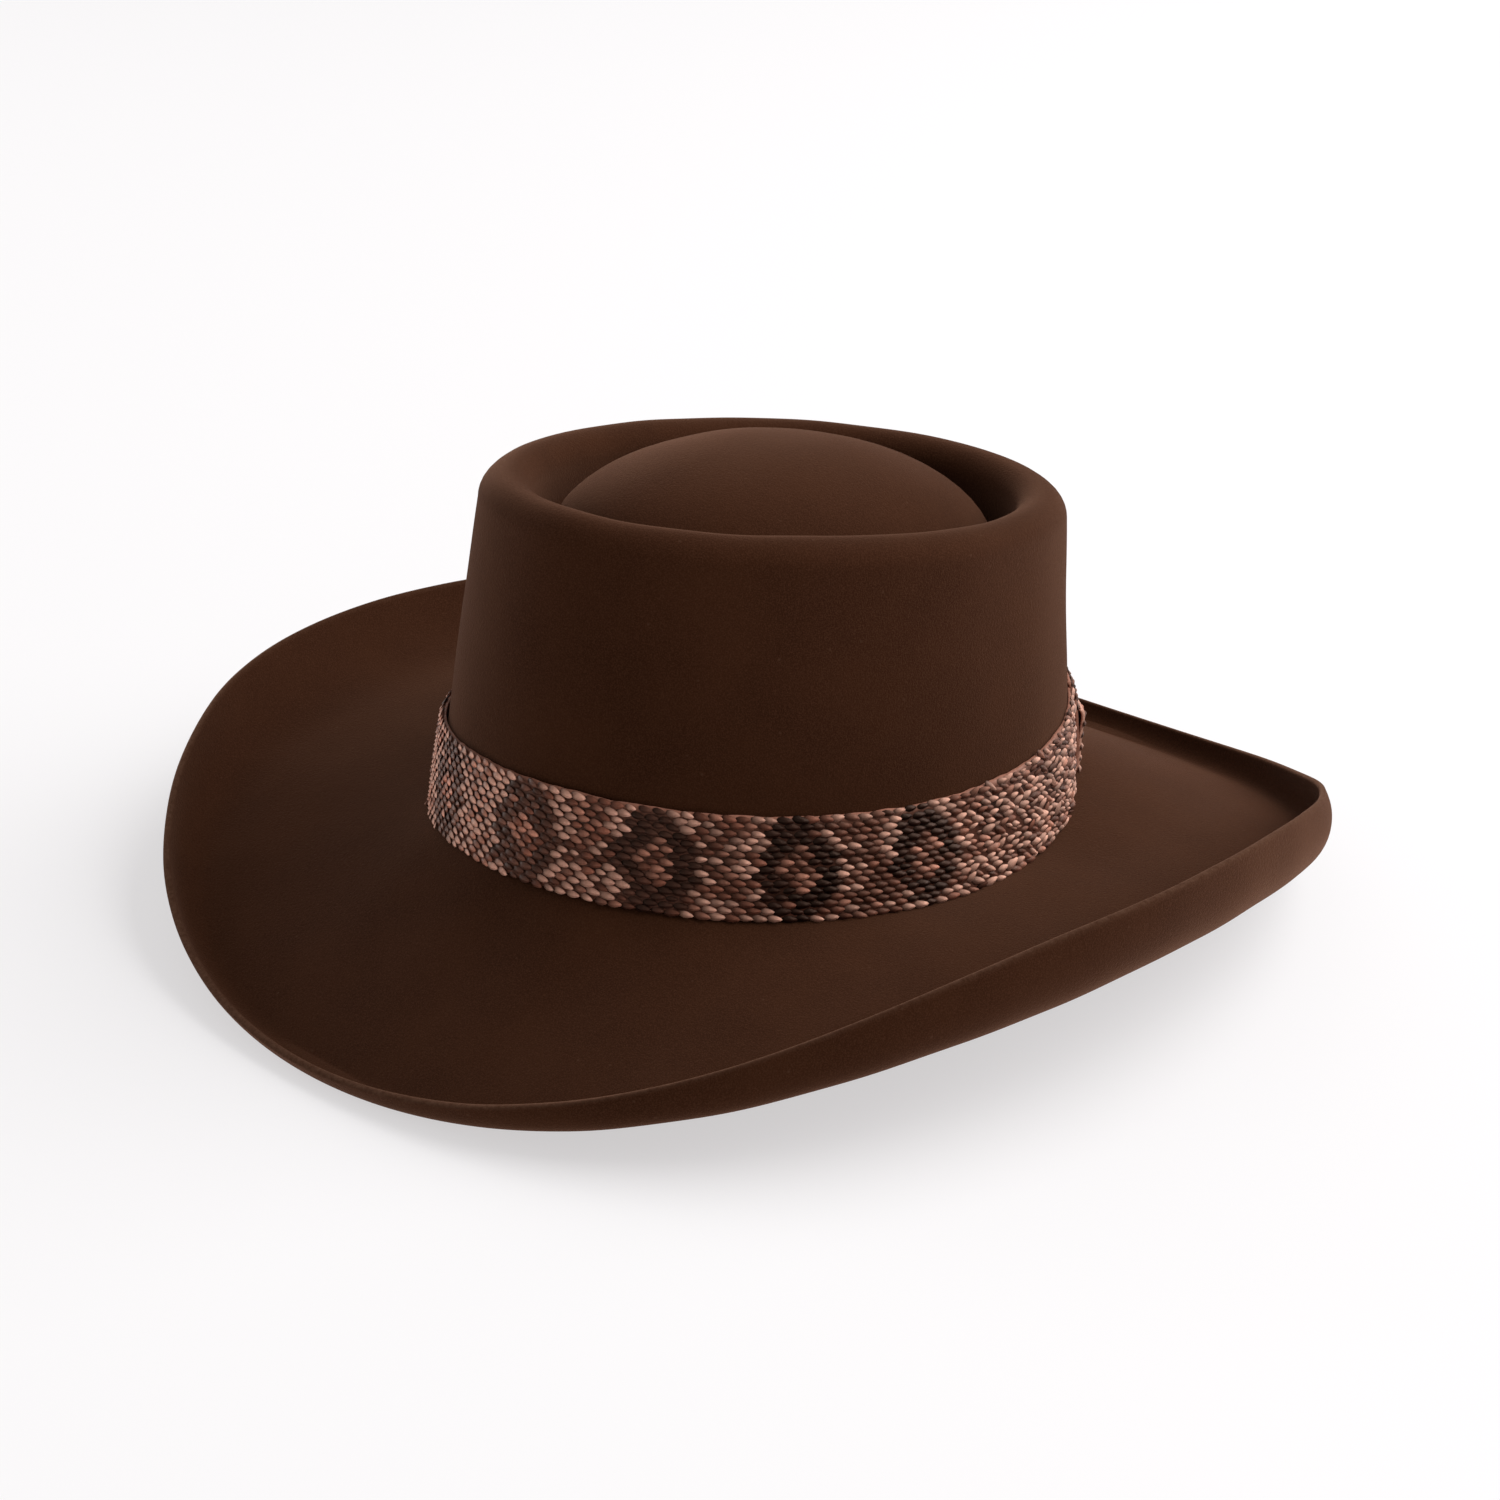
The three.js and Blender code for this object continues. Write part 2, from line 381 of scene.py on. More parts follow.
@dataclass(frozen=True)
class FeltFinish:
    """Dark brown felt: a short matted nap, faint mottling, pale lint and a cut edge painted
    lighter, partly rubbing of the felt and partly a painted highlight.

    Scales are in cells a metre, and the nap's depth is in metres.
    """

    brown: Rgba = (0.039, 0.0125, 0.0046, 1.0)
    dark: Rgba = (0.031, 0.0095, 0.0034, 1.0)
    nap: Rgba = (0.060, 0.023, 0.011, 1.0)
    # the cut edge's lighter colour: partly rubbing, partly a painted highlight
    rubbed_and_highlight: Rgba = (0.105, 0.052, 0.032, 1.0)
    lint: Rgba = (0.075, 0.035, 0.020, 1.0)
    sheen: Rgba = (0.95, 0.50, 0.33, 1.0)
    mottle_scale: float = 38.0
    mottle_detail: float = 4.0
    fibre_scale: float = 2600.0
    mat_scale: float = 1100.0
    fuzz_scale: float = 700.0
    lint_scale: float = 110.0
    roughness: float = 0.95
    shine: float = 0.05
    sheen_weight: float = 0.24
    sheen_roughness: float = 0.4
    nap_strength: float = 0.5
    nap_depth: float = 0.00025

    def material(self) -> bpy.types.Material:
        """Builds the felt's material: its colours, sheen and nap.

        Returns:
            The material.
        """
        material, nodes, shader = new_material("brown_felt")
        place = nodes.place()
        mottle = nodes.noise(place, self.mottle_scale, self.mottle_detail)
        mottle = nodes.spread(mottle, low=0.35, high=0.65, start=0.0, end=1.0)
        colour = nodes.blend(mottle, self.dark, self.brown)
        fibres = nodes.noise(place, self.fibre_scale)
        fleck = nodes.spread(fibres, low=0.42, high=0.68, start=0.0, end=0.8)
        colour = nodes.blend(fleck, colour, self.nap)
        speck = nodes.add("ShaderNodeTexVoronoi", feature="F1")
        speck.inputs["Scale"].default_value = self.lint_scale
        nodes.join(place, speck.inputs["Vector"])
        lint = nodes.spread(speck.outputs["Distance"], low=0.03, high=0.06, start=0.5, end=0.0)
        colour = nodes.blend(lint, colour, self.lint)
        # the cut edge is painted lighter, partly rubbing and partly a painted highlight along the
        # edge
        wear_and_highlight = nodes.painted("wear_and_highlight").outputs["Fac"]
        fuzz = nodes.noise(place, self.fuzz_scale)
        fuzz = nodes.spread(fuzz, low=0.3, high=0.7, start=0.35, end=1.0)
        rub_and_highlight = nodes.combine("MULTIPLY", wear_and_highlight, fuzz)
        nodes.join(nodes.blend(rub_and_highlight, colour, self.rubbed_and_highlight), shader.inputs["Base Color"])
        sockets = {
            "Roughness": self.roughness,
            "Specular IOR Level": self.shine,
            "Sheen Weight": self.sheen_weight,
            "Sheen Roughness": self.sheen_roughness,
            "Sheen Tint": self.sheen,
        }
        set_inputs(shader, sockets)
        height = nodes.combine("ADD", fibres, nodes.noise(place, self.mat_scale))
        nodes.relief(shader, height, self.nap_strength, self.nap_depth)
        return material


@dataclass(frozen=True)
class DrySkin:
    """The grain, unevenness and ridges of dry snakeskin, in cells a metre."""

    grain_scale: float = 900.0
    grain_detail: float = 3.0
    grain_shade: Rgba = (0.42, 0.34, 0.31, 1.0)
    uneven_scale: float = 500.0
    ridge_scale: float = 2200.0

    def group(self) -> bpy.types.NodeTree:
        """Builds the node group that every skin finish uses.

        Returns:
            A group that takes a painted colour and a gloss, and puts out the colour with fine
            dark grain, the roughness and the height of the skin's fine ridges.
        """
        group = bpy.data.node_groups.new("dry_skin", "ShaderNodeTree")
        sockets = (
            ("Painted", "INPUT", "NodeSocketColor"),
            ("Gloss", "INPUT", "NodeSocketFloat"),
            ("Colour", "OUTPUT", "NodeSocketColor"),
            ("Roughness", "OUTPUT", "NodeSocketFloat"),
            ("Height", "OUTPUT", "NodeSocketFloat"),
        )
        for name, way, kind in sockets:
            group.interface.new_socket(name=name, in_out=way, socket_type=kind)
        nodes = Nodes(group)
        given = nodes.add("NodeGroupInput").outputs
        result = nodes.add("NodeGroupOutput").inputs
        place = nodes.place()
        grain = nodes.noise(place, self.grain_scale, self.grain_detail)
        grain = nodes.spread(grain, low=0.3, high=0.7, start=0.0, end=0.5)
        darker = nodes.blend(1.0, given["Painted"], self.grain_shade, "MULTIPLY")
        nodes.join(nodes.blend(grain, given["Painted"], darker), result["Colour"])
        uneven = nodes.noise(place, self.uneven_scale)
        uneven = nodes.spread(uneven, low=0.3, high=0.7, start=0.0, end=0.2)
        nodes.join(nodes.combine("ADD", given["Gloss"], uneven), result["Roughness"])
        nodes.join(nodes.noise(place, self.ridge_scale), result["Height"])
        return group


@dataclass(frozen=True)
class SkinFinish:
    """Dry snakeskin: the colour painted on each scale, fine ridges and a soft gloss."""

    name: str
    gloss: float = 0.34
    shine: float = 0.3
    shine_colour: Rgba = (1.0, 0.62, 0.46, 1.0)
    ridge_strength: float = 0.4
    ridge_depth: float = 0.0002

    def material(self, group: bpy.types.NodeTree) -> bpy.types.Material:
        """Builds the skin's material from the painted colour.

        Args:
            group: the dry skin node group.

        Returns:
            The material.
        """
        material, nodes, shader = new_material(self.name)
        skin = nodes.add("ShaderNodeGroup", node_tree=group)
        nodes.join(nodes.painted("skin_colour").outputs["Color"], skin.inputs["Painted"])
        skin.inputs["Gloss"].default_value = self.gloss
        nodes.join(skin.outputs["Colour"], shader.inputs["Base Color"])
        nodes.join(skin.outputs["Roughness"], shader.inputs["Roughness"])
        set_inputs(shader, {"Specular IOR Level": self.shine, "Specular Tint": self.shine_colour})
        nodes.relief(shader, skin.outputs["Height"], self.ridge_strength, self.ridge_depth)
        return material


@dataclass
class HatForm:
    """The hat's sizes and the lines that its felt, band and keeper follow, in millimetres."""

    felt: float = 2.2
    head_half_length: float = 102.8
    head_half_width: float = 88.2
    crown_height: float = 101.8
    rim_radius: float = 7.8
    groove_depth: float = 19.0
    groove_radius: float = 3.2
    dome_rise: float = 13.0
    dome_forward: float = 17.5
    dome_fullness: float = 0.62
    brim_width: float = 92.0
    joint_radius: float = 1.0
    rest_flat: float = 0.8
    rest_press: float = 0.3
    fit_gap: float = 0.3
    joint_height: Around = Around(0.091, -0.033, -0.025, -0.033, 0.0)
    rim_height: Around = Around(1.124, 1.007, 0.862, 1.007, 1.0)
    lean: Around = Around(0.161, 0.144, -0.021, 0.144, 0.107)
    width: Around = Around(0.94, 1.07, 0.909, 1.06, 0.995)
    curl_length: Around = Around(0.157, 0.486, 0.157, 0.486, 0.271)
    slope_at_crown: Around = Around(-38.0, 1.0, -21.0, 0.0, -14.6)
    slope_at_curl: Around = Around(-28.0, 3.0, -28.6, -2.0, -11.7)
    curl_turn: Around = Around(90.0, 92.0, 95.0, 48.0, 108.0)
    move: np.ndarray = field(default_factory=lambda: np.eye(4))

    def from_oval(self, angle: np.ndarray, outwards: np.ndarray, height: np.ndarray) -> np.ndarray:
        """Points at a distance outwards from the oval where the crown meets the brim.

        The oval is (half width x sine, -half length x cosine) of the angle, and outwards is
        along its normal.

        Args:
            angle: angles from the front towards the wearer's left.
            outwards: the distance along the oval's normal.
            height: the height over the middle level of the joint.

        Returns:
            An array with the three coordinates in its last axis.
        """
        angle, outwards, height = np.broadcast_arrays(angle, outwards, height)
        across = self.head_half_length * np.sin(angle)
        along = -self.head_half_width * np.cos(angle)
        length = np.hypot(across, along)
        x = self.head_half_width * np.sin(angle) + across / length * outwards
        y = -self.head_half_length * np.cos(angle) + along / length * outwards
        return np.stack([x, y, height], axis=-1)

    def foot(self, angle: np.ndarray) -> np.ndarray:
        """The height where the crown's wall meets the brim."""
        return self.brim_width * self.joint_height.at(angle)

    def top(self, angle: np.ndarray) -> np.ndarray:
        """The height of the crown's rim."""
        return self.crown_height * self.rim_height.at(angle)

    def inset(self, angle: np.ndarray, height: np.ndarray) -> np.ndarray:
        """How far the wall's outer face leans in from the oval at a height, in a straight line."""
        rise = (height - self.foot(angle)) / (self.top(angle) - self.foot(angle))
        return self.crown_height * self.lean.at(angle) * rise

    def settle(self, points: np.ndarray) -> np.ndarray:
        """Carries points to where the hat stands."""
        return points @ self.move[:3, :3].T + self.move[:3, 3]


@dataclass
class FeltBody:
    """The crown and brim, one piece of felt: a middle surface with a thickness round it."""

    form: HatForm
    columns: int = 360
    dome_rows: int = 18
    groove_rows: int = 12
    rim_rows: int = 18
    wall_rows: int = 18
    joint_rows: int = 5
    brim_rows: int = 26
    curl_rows: int = 28
    steps_per_row: int = 4
    unevenness: float = 0.35
    uneven_waves: Waves = Waves(seed=3, count=26, longest=160.0, shortest=28.0)
    calm_below: float = 4.0
    calm_over: float = 14.0
    edge_bulge: float = 0.66
    edge_turns: tuple[float, ...] = (60.0, 30.0, 0.0, -30.0, -60.0)
    # how much the cut edge is painted lighter, row by row: partly rubbing, partly a painted
    # highlight
    edge_wear_and_highlight: tuple[float, ...] = (0.35, 0.6, 0.75, 0.8, 0.75, 0.6, 0.3)

    def bend(
        self,
        centre: tuple[np.ndarray, np.ndarray],
        radius: float,
        start: np.ndarray | float,
        end: np.ndarray | float,
        rows: int,
    ) -> tuple[np.ndarray, np.ndarray]:
        """An arc in the upright plane of each column: centre plus radius times (cosine, sine).

        Args:
            centre: the arc's centre as (outwards, height).
            radius: the arc's radius.
            start: the angle of the first row.
            end: the angle of the last row.
            rows: how many spans the arc has.

        Returns:
            The arc's outwards and height arrays, a row for each point.
        """
        share = np.linspace(0.0, 1.0, rows + 1)[:, None]
        turn = start + (end - start) * share
        return centre[0] + radius * np.cos(turn), centre[1] + radius * np.sin(turn)

    def crown_line(self, angle: np.ndarray) -> tuple[np.ndarray, np.ndarray]:
        """The felt's middle from inside the groove, over the rim and down the wall to the brim.

        It is an arc for the groove, an arc for the rim, a straight wall and an arc for the joint.

        Args:
            angle: the columns' angles.

        Returns:
            The outwards and height arrays, a row for each point.
        """
        form = self.form
        half = form.felt / 2
        roll_height = form.top(angle) - form.rim_radius
        roll_out = -form.inset(angle, roll_height) - form.rim_radius
        roll_radius = form.rim_radius - half
        bottom_radius = form.groove_radius + half
        bottom = (
            roll_out - roll_radius - bottom_radius,
            form.top(angle) - form.groove_depth + form.groove_radius,
        )
        joint_height = form.foot(angle) + form.felt + form.joint_radius
        joint_out = form.joint_radius - form.inset(angle, joint_height)
        joint_radius = form.joint_radius + half
        joint_end = np.radians(form.slope_at_crown.at(angle)) - np.pi / 2
        groove = self.bend(bottom, bottom_radius, -np.pi, 0.0, self.groove_rows)
        roll = self.bend((roll_out, roll_height), roll_radius, np.pi, 0.0, self.rim_rows)
        share = np.linspace(0.0, 1.0, self.wall_rows + 1)[1:-1, None]
        wall_height = roll_height + (joint_height - roll_height) * share
        wall_out = -form.inset(angle, wall_height) - half
        joint_centre = (joint_out, joint_height)
        joint = self.bend(joint_centre, joint_radius, -np.pi, joint_end, self.joint_rows)
        outwards = np.concatenate([groove[0], roll[0], wall_out, joint[0]])
        height = np.concatenate([groove[1], roll[1], wall_height, joint[1]])
        return outwards, height

    def brim_line(
        self, angle: np.ndarray, outwards: np.ndarray, height: np.ndarray
    ) -> tuple[np.ndarray, np.ndarray]:
        """The felt's middle along the brim, a running sum of short steps at a changing slope.

        The slope goes evenly from its value at the crown to its value at the curl, and the curl
        adds its turn by a smooth step over the curl's length.

        Args:
            angle: the columns' angles.
            outwards: where the brim starts.
            height: the height where it starts.

        Returns:
            The outwards and height arrays, a row for each point.
        """
        form = self.form
        width = form.brim_width * form.width.at(angle)
        curl = form.brim_width * form.curl_length.at(angle)
        flat = width - curl
        rows = [self.brim_rows, self.curl_rows]
        stops = [np.linspace(0.0, 1.0, n * self.steps_per_row + 1)[:, None] for n in rows]
        length = np.concatenate([stops[0] * flat, flat + stops[1][1:] * curl])
        middle = (length[1:] + length[:-1]) / 2
        step = np.diff(length, axis=0)
        start = np.radians(form.slope_at_crown.at(angle))
        end = np.radians(form.slope_at_curl.at(angle))
        turn = np.radians(form.curl_turn.at(angle))
        slope = start + (end - start) * np.minimum(middle / flat, 1.0)
        slope = slope + turn * smooth_step((middle - flat) / curl)
        out = outwards + np.cumsum(step * np.cos(slope), axis=0)
        up = height + np.cumsum(step * np.sin(slope), axis=0)
        keep = slice(self.steps_per_row - 1, None, self.steps_per_row)
        return out[keep], up[keep]

    def middle_surface(self) -> tuple[np.ndarray, np.ndarray]:
        """The felt's middle before the hat is set down, with the dome inside the groove.

        A dome row lies at a share of the way from the dome's top to the groove, and its height
        falls from the top's by the power of 1 - share^2 that is the dome's fullness.

        Returns:
            The dome's top and the rows of points below it.
        """
        form = self.form
        angle = np.arange(self.columns) * (FULL_TURN / self.columns)
        crown_out, crown_up = self.crown_line(angle)
        brim_out, brim_up = self.brim_line(angle, crown_out[-1], crown_up[-1])
        outwards = np.concatenate([crown_out, brim_out])
        height = np.concatenate([crown_up, brim_up])
        points = form.from_oval(angle[None, :], outwards, height)
        peak = form.crown_height + form.dome_rise - form.felt / 2
        top = np.array([0.0, -form.dome_forward, peak])
        rows = np.arange(self.dome_rows - 1, 0, -1)[:, None, None]
        share = np.cos(np.pi / 2 * rows / self.dome_rows)
        edge = points[0]
        dome = top + (edge - top) * share
        rise = (1.0 - share**2) ** form.dome_fullness
        dome[..., 2] = edge[:, 2] + (peak - edge[:, 2]) * rise[..., 0]
        return top, np.concatenate([dome, points])

    def normals(self, top: np.ndarray, rows: np.ndarray) -> np.ndarray:
        """Unit normals of the middle surface, the cross product of neighbours' differences.

        Args:
            top: the dome's top.
            rows: the rows of points below it.

        Returns:
            A normal for each point of the rows.
        """
        before = np.concatenate([np.broadcast_to(top, rows[:1].shape), rows[:-1]])
        after = np.concatenate([rows[1:], rows[-1:]])
        across = np.roll(rows, -1, axis=1) - np.roll(rows, 1, axis=1)
        normal = np.cross(after - before, across)
        return normal / np.linalg.norm(normal, axis=-1, keepdims=True)

    def set_down(self, rows: np.ndarray) -> None:
        """Works out the move that levels the hat on the lowest points of its front and back.

        Args:
            rows: the middle surface's points.
        """
        form = self.form
        points = rows.reshape(-1, 3)
        halves = (points[points[:, 1] < 0], points[points[:, 1] > 0])
        front, back = (half[half[:, 2].argmin()] for half in halves)
        tilt = -np.arctan2(back[2] - front[2], back[1] - front[1])
        level = np.eye(4)
        level[1, 1:3] = np.cos(tilt), -np.sin(tilt)
        level[2, 1:3] = np.sin(tilt), np.cos(tilt)
        ground = (level[:3, :3] @ front)[2] - form.felt / 2 + form.rest_flat
        level[2, 3] = -ground
        levelled = points @ level[:3, :3].T
        low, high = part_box("felt_body")
        for axis in (0, 1):
            centre = (low[axis] + high[axis]) / 2 / MM
            own = (levelled[:, axis].min() + levelled[:, axis].max()) / 2
            level[axis, 3] = centre - own
        form.move = level

    def build(self, material: bpy.types.Material) -> bpy.types.Object:
        """Makes the felt piece: both faces, the rounded cut edge and the lighter colour painted on
        it, partly rubbing and partly a painted highlight.

        Args:
            material: the felt's finish.

        Returns:
            The piece.
        """
        form = self.form
        top, rows = self.middle_surface()
        self.set_down(rows)
        top = form.settle(top)
        rows = form.settle(rows)
        half = form.felt / 2
        rows[..., 2] = np.maximum(rows[..., 2], half - form.rest_press)
        normal = self.normals(top, rows)
        calm = smooth_step((rows[..., 2] - self.calm_below) / self.calm_over)
        uneven = self.uneven_waves.at(rows[..., 0], rows[..., 1], rows[..., 2])
        rows = rows + normal * (uneven * calm * self.unevenness)[..., None]
        outer = rows + normal * half
        inner = rows - normal * half
        inner[..., 2] = np.maximum(inner[..., 2], 0.0)
        out = rows[-1] - rows[-2]
        out /= np.linalg.norm(out, axis=-1, keepdims=True)
        turn = np.radians(self.edge_turns)[:, None, None]
        edge = rows[-1] + normal[-1] * half * np.sin(turn) + out * self.edge_bulge * np.cos(turn)
        rings = np.concatenate([outer, edge, inner[::-1]])
        count = len(rings)
        poles = [top + [0, 0, half], top - [0, 0, half]]
        points = np.concatenate([rings.reshape(-1, 3), poles])
        last = (count - 1) * self.columns
        ring = np.arange(self.columns)
        faces = [
            ring_faces(count, self.columns),
            fan_faces(count * self.columns, ring),
            fan_faces(count * self.columns + 1, last + ring, inwards=True),
        ]
        piece = MeshPiece.make("felt_hat", points, faces, material, Slot.FELT, ("felt_body",))
        # paints the cut edge lighter, partly rubbing and partly a painted highlight
        wear_and_highlight = np.zeros((count, self.columns))
        cut = len(outer) - 1
        wear_and_highlight[cut : cut + len(self.edge_wear_and_highlight)] = np.array(self.edge_wear_and_highlight)[:, None]
        MeshPiece.paint(piece, "wear_and_highlight", np.append(wear_and_highlight.ravel(), [0.0, 0.0]))
        return piece


@dataclass(frozen=True)
class SnakePattern:
    """The skin's colours and its chain of dark diamonds with pale scales round them.

    The distance from a diamond's middle joins the shares of its half length and its half height,
    each raised to a power that rounds the corners. The skin is brown inside the heart, dark up
    to 1, pale in a line outside it, and brown again beyond the line. Towards the wearer's right
    the skin is lighter: the dark turns tan and the rest gets lighter. This is partly a real fade
    of the skin and partly painted light, standing in for light falling on that side of the band.
    """

    first: float = 8.6
    pitch: float = 40.8
    half_length: float = 12.6
    half_height: float = 17.0
    rounding: float = 1.35
    heart: float = 0.46
    line: float = 1.34
    ragged: float = 0.035
    darkest: float = 108.0
    # how strongly and how often round the band the skin is made lighter: partly a real fade, partly
    # painted light
    fade_and_light_amount: float = 0.46
    fade_and_light_cycles: float = 2.0
    brightest: float = 0.92
    shade_spread: float = 0.30
    shade_limits: tuple[float, float] = (0.4, 1.8)
    ground_pale: float = 0.14
    ground_brown: float = 0.5
    ground_shade: float = 0.8
    ground_level: float = 0.9
    ground_fade_and_light: float = 2.4
    brown_fade_and_light: float = 1.2
    heart_tan: float = 0.62
    heart_fade_and_light: float = 2.5
    ring_dark: float = 0.95
    line_pale: float = 0.56
    line_fade_and_light: float = 0.8
    plain_pale: float = 0.56
    plain_brown: float = 0.84
    plain_shade: float = 0.95
    cream: Rgb = (0.80, 0.43, 0.315)
    tan: Rgb = (0.41, 0.178, 0.120)
    brown: Rgb = (0.185, 0.068, 0.043)
    dark: Rgb = (0.018, 0.0055, 0.0034)

    def pick(
        self, chance: np.ndarray, share: np.ndarray | float, often: object, seldom: object
    ) -> np.ndarray:
        """One of two colours for each scale: the first where its chance is under a share."""
        return np.where((chance < share)[:, None], np.array(often), np.array(seldom))

    def reach(self, along: np.ndarray, up: np.ndarray) -> np.ndarray:
        """How far scales lie from the nearest diamond's middle: 1 on its edge.

        Args:
            along: the distance along the band.
            up: the height over the band's middle.

        Returns:
            The share for each scale.
        """
        offset = (along - self.first + self.pitch / 2) % self.pitch - self.pitch / 2
        lengthwise = np.abs(offset / self.half_length) ** self.rounding
        crosswise = np.abs(up / self.half_height) ** self.rounding
        return (lengthwise + crosswise) ** (1.0 / self.rounding)

    def colours(
        self,
        along: np.ndarray,
        up: np.ndarray,
        rough: np.ndarray,
        around: float,
        rng: np.random.Generator,
    ) -> np.ndarray:
        """The colour of each scale from its place in the chain of diamonds.

        Args:
            along: the distance along the band.
            up: the height over the band's middle.
            rough: how far the scale lies in the plain, rough stretch, from 0 to 1.
            around: the band's length.
            rng: the random source.

        Returns:
            A row of red, green and blue for each scale.
        """
        count = len(along)
        share = self.reach(along, up) + rng.normal(0.0, self.ragged, count)
        chance = rng.random(count)
        shade = np.exp(rng.normal(0.0, self.shade_spread, count)).clip(*self.shade_limits)[:, None]
        # the lightening mask: partly a real fade of the skin, partly painted light
        swing = np.cos((along - self.darkest) * self.fade_and_light_cycles * (FULL_TURN / around))
        fade_and_light = self.fade_and_light_amount * (0.5 - 0.5 * swing)
        ground = self.pick(chance, self.ground_pale + fade_and_light, self.cream, self.tan)
        mostly = self.ground_brown + self.brown_fade_and_light * fade_and_light
        ground = self.pick(chance, mostly, ground * self.ground_shade, self.brown)
        heart = self.pick(chance, self.heart_tan, self.tan, self.brown)
        ring = self.pick(chance, self.ring_dark, self.dark, self.brown)
        often = self.line_pale + self.line_fade_and_light * fade_and_light
        pale = self.pick(chance, often, self.cream, self.brown)
        plain = self.pick(chance, self.plain_pale, self.cream, self.tan) * self.plain_shade
        plain = self.pick(chance, self.plain_brown, plain, self.brown)
        fade_and_light = fade_and_light[:, None]
        # painted light and a real fade: the ground, pale line and heart are made lighter where the
        # mask is high
        ground = ground * (self.ground_level + self.ground_fade_and_light * fade_and_light)
        pale = pale * (1.0 + self.line_fade_and_light * fade_and_light)
        heart = heart * (1.0 + self.heart_fade_and_light * fade_and_light)
        ring = ring * (1.0 - fade_and_light) + np.array(self.tan) * fade_and_light
        colour = self.pick(share, self.line, pale, ground)
        colour = self.pick(share, 1.0, ring, colour)
        colour = self.pick(share, self.heart, heart, colour)
        colour = colour * (1.0 - rough[:, None]) + plain * rough[:, None]
        colour = colour * shade
        return colour / np.maximum(colour.max(axis=1, keepdims=True) / self.brightest, 1.0)


@dataclass
class BandLine:
    """Places points on the outside of the crown by distance along the band and height on it."""

    form: HatForm
    height: float = 29.6
    thickness: float = 1.3
    crowning: float = 0.3
    fold_radius: float = 1.1
    fold_depth: float = 0.7
    steps: int = 1440

    def __post_init__(self) -> None:
        """Measures the oval once, so that a distance along it gives an angle."""
        angle = np.linspace(-np.pi, np.pi, self.steps + 1)
        width, length = self.form.head_half_width, self.form.head_half_length
        speed = np.hypot(width * np.cos(angle), length * np.sin(angle))
        reach = np.concatenate([[0.0], np.cumsum((speed[1:] + speed[:-1]) / 2 * np.diff(angle))])
        self.angles = angle
        self.lengths = reach - np.interp(0.0, angle, reach)
        self.around = reach[-1]

    def angle_at(self, along: np.ndarray) -> np.ndarray:
        """The angle at a distance along the oval from the front towards the wearer's left."""
        wrapped = (along + self.around / 2) % self.around - self.around / 2
        return np.interp(wrapped, self.lengths, self.angles)

    def length_at(self, degrees: float) -> float:
        """The distance along the oval at an angle in degrees."""
        return float(np.interp(np.radians(degrees), self.angles, self.lengths))

    def place(self, along: np.ndarray, up: np.ndarray, outwards: np.ndarray) -> np.ndarray:
        """Points on or off the crown's wall where the band goes.

        Args:
            along: the distance along the band.
            up: the height over the band's foot.
            outwards: the distance off the wall.

        Returns:
            An array with the three coordinates in its last axis.
        """
        form = self.form
        angle = self.angle_at(along)
        height = form.foot(angle) + form.felt + form.fit_gap + up
        return form.settle(form.from_oval(angle, outwards - form.inset(angle, height), height))

    def face(self, up: np.ndarray) -> np.ndarray:
        """How far the band's outer face stands off the wall.

        It is the gap and the thickness, a slight crown that is a parabola of the height, and
        less a quarter round towards the band's two edges, as the folded skin falls back.

        Args:
            up: the height over the band's foot.

        Returns:
            The distance at each height.
        """
        share = np.clip(up / self.height, 0.0, 1.0)
        crown = self.crowning * (1.0 - (2.0 * share - 1.0) ** 2)
        fold = quarter_round(np.minimum(share, 1.0 - share) * self.height, self.fold_radius)
        return self.form.fit_gap + crown + self.thickness * (1.0 - self.fold_depth * fold)


@dataclass
class ScaleShape:
    """One snake scale: a pointed, keeled shield, closed below, that many copies are made of."""

    spokes: int = 10
    rings: tuple[float, ...] = (1.0, 0.86, 0.5)
    doming: float = 0.52
    doming_power: float = 2.4
    keel: float = 0.26
    keel_width: float = 0.25
    tip_narrowing: float = 0.28
    belly: float = 0.18

    def points(self) -> np.ndarray:
        """The scale's points for a half length and a half width of one.

        A ring at a share of the outline is (share x cosine, share x sine x fullness), where the
        fullness narrows the tip, and its height is the doming times one less a power of the
        share, with the keel added along the middle line.

        Returns:
            The points of the rings, then the top and the underside's middle.
        """
        turn = np.arange(self.spokes) * (FULL_TURN / self.spokes)
        share = np.array(self.rings)[:, None]
        x = share * np.cos(turn)
        y = share * np.sin(turn) * (1.0 - self.tip_narrowing * np.cos(turn))
        ridge = self.keel * np.exp(-((np.sin(turn) * share / self.keel_width) ** 2))
        z = (self.doming + ridge) * (1.0 - share**self.doming_power)
        rows = np.stack([x, y, z], axis=-1).reshape(-1, 3)
        ends = [[0.0, 0.0, self.doming + self.keel], [0.0, 0.0, -self.belly]]
        return np.concatenate([rows, ends])

    def faces(self) -> list[np.ndarray]:
        """The scale's faces.

        Returns:
            The faces between its rings, on its top and on its underside.
        """
        count = len(self.rings)
        ring = np.arange(self.spokes)
        inner = (count - 1) * self.spokes + ring
        sides = ring_faces(count, self.spokes)[:, ::-1]
        top = fan_faces(count * self.spokes, inner)
        bottom = fan_faces(count * self.spokes + 1, ring, inwards=True)
        return [sides, top, bottom]


